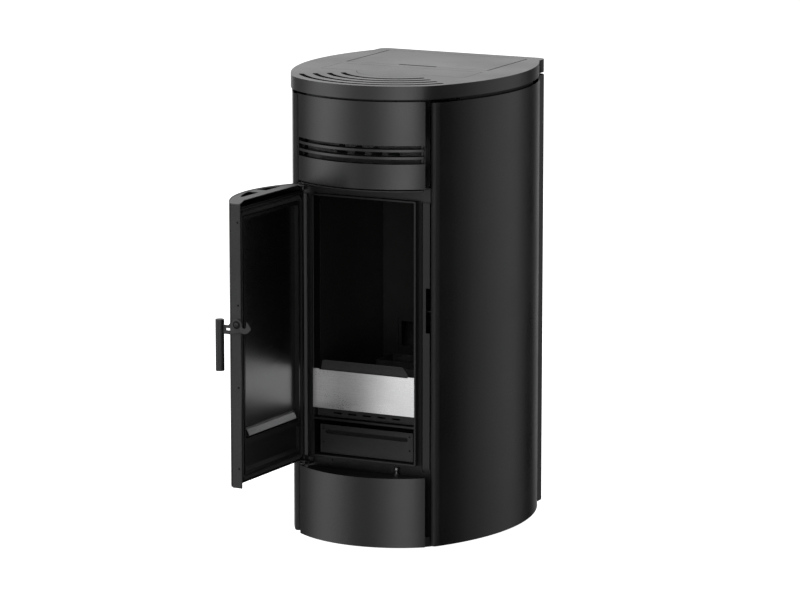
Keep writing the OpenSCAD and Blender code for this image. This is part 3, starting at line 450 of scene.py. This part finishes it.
def add_screw(bm, base, axis, r, h, shank_r, shank_l, recess="torx"):
    """Pan-head screw: head base at base, head pointing along axis, shank going back."""
    axis = Vector(axis).normalized()
    q = Vector((0, 0, 1)).rotation_difference(axis).to_matrix()
    n = 36
    rings = []

    def ring(fn, z):
        vs = []
        for i in range(n):
            a = 2 * math.pi * i / n
            rr = fn(a) if callable(fn) else fn
            vs.append(bm.verts.new(q @ Vector((rr * math.cos(a), rr * math.sin(a), z)) + Vector(base)))
        rings.append(vs)

    ring(shank_r * 0.7, -shank_l)
    ring(shank_r, -shank_l + shank_r * 0.4)
    ring(shank_r, 0.0)
    ring(r * 0.99, 0.0)
    ring(r, h * 0.12)
    for t in (0.35, 0.6, 0.8, 0.93, 1.0):
        ring(r * math.cos(t * math.pi / 2 * 0.86), h * (0.12 + 0.88 * math.sin(t * math.pi / 2)))
    rr = r * 0.46
    if recess == "torx":
        ring(lambda a: torx(a, rr * 1.04), h * 1.0)
        ring(lambda a: torx(a, rr), h * 0.93)
        ring(lambda a: torx(a, rr * 0.97), h * 0.35)
    else:
        ring(rr * 0.5, h * 1.0)
    cap = rings[-1]
    for a, b in zip(rings, rings[1:]):
        for i in range(n):
            j = (i + 1) % n
            bm.faces.new((a[i], a[j], b[j], b[i]))
    bm.faces.new(cap)
    bm.faces.new(list(reversed(rings[0])))


def dvec(x, y):
    """A direction of the closed door carried to the open door."""
    return Vector((x * C - y * S, x * S + y * C, 0))


# screws on the door's free edge, and the lever's pivot screw on its washer; the washer is black, painted shadow for the
# dark ring round the screw head
bm = bmesh.new()
for z in (0.216, 0.394, 0.573, 0.752):
    add_screw(bm, D(0.152, -0.2155, z), dvec(1, 0), 0.0025, 0.0004, 0.0015, 0.005)
edge_screws = new_piece("edge_screws", bm, "screw", "door")
bm = bmesh.new()
add_screw(bm, D(0.1574, -0.217, 0.5315), dvec(1, 0), 0.0051, 0.0020, 0.0030, 0.0110)
pivot_screw = new_piece("lever_pivot_screw", bm, "lever", "door")
bm = bmesh.new()
q = Vector((0, 0, 1)).rotation_difference(dvec(1, 0)).to_matrix()
rows = []
for r, h in ((0.0034, 0.0), (0.0083, 0.0), (0.0087, 0.00015), (0.0087, 0.0005), (0.0084, 0.0007), (0.0034, 0.0007)):
    rows.append([
        bm.verts.new(q @ Vector((r * math.cos(i * math.pi / 24), r * math.sin(i * math.pi / 24), h)) + D(0.1567, -0.217, 0.5315))
        for i in range(48)
    ])
for k in range(len(rows)):
    a, b = rows[k], rows[(k + 1) % len(rows)]
    for i in range(48):
        j = (i + 1) % 48
        bm.faces.new((a[i], a[j], b[j], b[i]))
# painted shadow: a black ring under the pivot screw's head
painted_shadow_washer = new_piece("lever_pivot_shadow_washer", bm, "screw", "door")
for o in (edge_screws, pivot_screw, painted_shadow_washer):
    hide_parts("door_screws")

# screws on the lower drawer's front
bm = bmesh.new()
for x in (-0.1055, 0.1055):
    for z in (0.2155, 0.2465):
        add_screw(bm, (x, -0.206, z), (0, -1, 0), 0.0022, 0.0007, 0.0015, 0.0014)
front_screws = new_piece("drawer_front_screws", bm, "screw", "ash_drawer")
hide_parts("drawer_screws")


# braided rope in the door's channel
def rope_piece():
    cx, cz = 0.0, 0.477
    hw, hh, rad = 0.1243, 0.2888, 0.010
    pts = []
    straight = 0.0013

    def line(p, q):
        m = max(2, int((Vector(q) - Vector(p)).length / straight))
        for i in range(m):
            pts.append(Vector(p).lerp(Vector(q), i / m))

    corners = ((1, 1), (-1, 1), (-1, -1), (1, -1))
    for i, (sx, sz) in enumerate(corners):
        c = Vector((cx + sx * (hw - rad), cz + sz * (hh - rad)))
        a0 = i * math.pi / 2
        for j in range(12):
            a = a0 + j / 12 * math.pi / 2
            pts.append(c + rad * Vector((math.cos(a), math.sin(a))))
        nx, nz = corners[(i + 1) % 4]
        e = Vector((cx + nx * (hw - rad), cz + nz * (hh - rad)))
        a1 = a0 + math.pi / 2
        line(c + rad * Vector((math.cos(a1), math.sin(a1))), e + rad * Vector((math.cos(a1), math.sin(a1))))
    bm = bmesh.new()
    n = 20
    y0 = -0.2258
    rings = []
    s = 0.0
    total = sum((pts[(i + 1) % len(pts)] - pts[i]).length for i in range(len(pts)))
    turns = round(total / 0.016)
    for i, p in enumerate(pts):
        q = pts[(i + 1) % len(pts)]
        o = pts[i - 1]
        t = (q - o).normalized()
        side = Vector((t.y, -t.x))
        ring = []
        for k in range(n):
            a = 2 * math.pi * k / n
            ph = 2 * math.pi * turns * s / total
            w = abs(math.sin(3 * a + ph)) * 0.5 + abs(math.sin(3 * a - ph)) * 0.5
            r = 0.86 + 0.14 * w
            u, v = 0.0058 * r * math.cos(a), 0.0038 * r * math.sin(a)
            x, z = p.x + side.x * u, p.y + side.y * u
            ring.append(bm.verts.new(D(x, y0 + v, z)))
        rings.append(ring)
        s += (q - p).length
    for i in range(len(rings)):
        a, b = rings[i], rings[(i + 1) % len(rings)]
        for k in range(n):
            m = (k + 1) % n
            bm.faces.new((a[k], a[m], b[m], b[k]))
    return new_piece("rope_gasket", bm, "rope", "door")


rope = rope_piece()
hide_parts("door_gasket")

# ---------------------------------------------------------------- stage, light and camera
fl = bmesh.new()
bmesh.ops.create_grid(fl, x_segments=8, y_segments=8, size=40)
me = bpy.data.meshes.new("floor")
fl.to_mesh(me)
fl.free()
floor = bpy.data.objects.new("floor", me)
scene.collection.objects.link(floor)
k = Mat("floor_pale", (0.86, 0.86, 0.86), 0.9, 0.0, 0.0)
k.base(k.mix(k.noise(0.4, 2.0, 0.5), (0.85, 0.85, 0.85), (0.88, 0.88, 0.88)))
# the floor well under the body gets no light
fd = k.t.nodes.new("ShaderNodeVectorMath")
fd.operation = "LENGTH"
k.link(k.coord.outputs["Object"], fd.inputs[0])
k.link(k.mix(k.span(fd.outputs["Value"], 0.19, 0.21), (0.0, 0.0, 0.0), (1.0, 1.0, 1.0)), k.b.inputs["Emission Color"])
k.b.inputs["Emission Strength"].default_value = 1.05
me.materials.append(k.m)
floor.visible_glossy = False
floor.visible_diffuse = False

# soft studio surroundings: white to the eye, even for diffuse light, and broad soft panels for reflections
world = bpy.data.worlds.new("studio")
scene.world = world
world.use_nodes = True
wt = world.node_tree
bg = wt.nodes["Background"]


def wmath(op, a, b=None):
    n = wt.nodes.new("ShaderNodeMath")
    n.operation = op
    for i, v in enumerate((a, b)):
        if v is None:
            continue
        if isinstance(v, (int, float)):
            n.inputs[i].default_value = v
        else:
            wt.links.new(v, n.inputs[i])
    return n.outputs[0]


def wramp(fac, stops, top):
    n = wt.nodes.new("ShaderNodeValToRGB")
    e = n.color_ramp.elements
    while len(e) < len(stops):
        e.new(0.5)
    for el, (pos, v) in zip(e, stops):
        el.position = pos
        el.color = (v / top, v / top, v / top, 1)
    wt.links.new(fac, n.inputs["Fac"])
    return wmath("MULTIPLY", n.outputs["Color"], top)


def wspan(fac, lo, hi, a, b):
    n = wt.nodes.new("ShaderNodeMapRange")
    for i, v in enumerate((lo, hi, a, b)):
        n.inputs[1 + i].default_value = v
    wt.links.new(fac, n.inputs[0])
    return n.outputs[0]


wc = wt.nodes.new("ShaderNodeTexCoord")
ws = wt.nodes.new("ShaderNodeSeparateXYZ")
wt.links.new(wc.outputs["Generated"], ws.inputs[0])
azim = wmath("ARCTAN2", ws.outputs["X"], wmath("MULTIPLY", ws.outputs["Y"], -1.0))
azf = wmath("ADD", wmath("MULTIPLY", azim, 1 / (2 * math.pi)), 0.5)
elev = wmath("MULTIPLY", wmath("ARCSINE", ws.outputs["Z"]), 180 / math.pi)
BANDS = (
    (-180, 0.2), (-155, 0.95), (-132, 0.75), (-112, 0.20), (-94, 0.18), (-86, 0.42), (-78, 0.95), (-70, 1.65), (-58, 2.45),
    (-46, 2.45), (-38, 2.00), (-30, 1.45), (-22, 0.95), (-14, 0.74), (-6, 0.76), (2, 1.02), (10, 1.60), (18, 2.40),
    (27, 3.25), (37, 3.30), (44, 2.30), (50, 0.45), (56, 0.0), (72, 0.10), (88, 0.03),
    (100, 0.17), (110, 0.54), (122, 0.72), (143, 0.76), (151, 0.50), (160, 0.13), (168, 0.0),
)
low_part = wmath("MULTIPLY", wramp(azf, [((d + 180) / 360, v) for d, v in BANDS], 3.6), wspan(elev, -26, -2, 0.0, 1.33))
UPPER = ((-180, 0.95), (-150, 0.98), (-130, 0.62), (-90, 0.50), (-50, 0.90), (0, 0.70), (30, 0.80), (60, 0.25), (130, 0.30), (150, 0.62), (170, 0.92))
high_part = wramp(azf, [((d + 180) / 360, v) for d, v in UPPER], 1.0)
upper_share = wspan(elev, 0.0, 6.0, 0.0, 1.0)
gloss = wmath("ADD", wmath("MULTIPLY", low_part, wmath("SUBTRACT", 1.0, upper_share)), wmath("MULTIPLY", high_part, upper_share))
lp = wt.nodes.new("ShaderNodeLightPath")
DIFFUSE = 0.26
g = wmath("MULTIPLY", gloss, lp.outputs["Is Glossy Ray"])
c = wmath("MULTIPLY", lp.outputs["Is Camera Ray"], 1.0)
rest = wmath("MULTIPLY", wmath("SUBTRACT", 1.0, wmath("MAXIMUM", lp.outputs["Is Glossy Ray"], lp.outputs["Is Camera Ray"])), DIFFUSE)
wt.links.new(wmath("ADD", wmath("ADD", g, c), rest), bg.inputs["Strength"])
bg.inputs["Color"].default_value = (1.0, 1.0, 1.0, 1)


def area(name, loc, target, size, power, size_y=None):
    d = bpy.data.lights.new(name, "AREA")
    d.energy = power
    d.shape = "RECTANGLE"
    d.size = size
    d.size_y = size_y or size
    o = bpy.data.objects.new(name, d)
    scene.collection.objects.link(o)
    o.location = loc
    o.rotation_euler = (Vector(target) - Vector(loc)).to_track_quat("-Z", "Y").to_euler()
    o.visible_glossy = False
    o.visible_camera = False
    return o


area("key_front_left", (-3.2, -4.6, 3.2), (0, 0, 0.6), 2.6, 95)
area("top_soft", (0.3, -0.4, 4.2), (0, 0, 0.5), 3.0, 90)
area("fill_front", (2.2, -5.5, 1.6), (0, 0, 0.5), 1.6, 40)

back = Vector((0.43438, -0.88043, 0.19012))
right = Vector((0.89679, 0.44245, 0.0))
up = Vector((-0.08412, 0.17050, 0.98175))
cam_data = bpy.data.cameras.new("camera")
cam_data.lens = 190.88
cam_data.sensor_width = 36.0
cam_data.dof.use_dof = False
cam = bpy.data.objects.new("camera", cam_data)
scene.collection.objects.link(cam)
m = Matrix.Identity(4)
for col, v in enumerate((right, up, back)):
    for row in range(3):
        m[row][col] = v[row]
for row, v in enumerate((4.0848, -8.3190, 2.3017)):
    m[row][3] = v
cam.matrix_world = m
cam_data.clip_end = 200
scene.camera = cam
scene.view_settings.view_transform = "Standard"
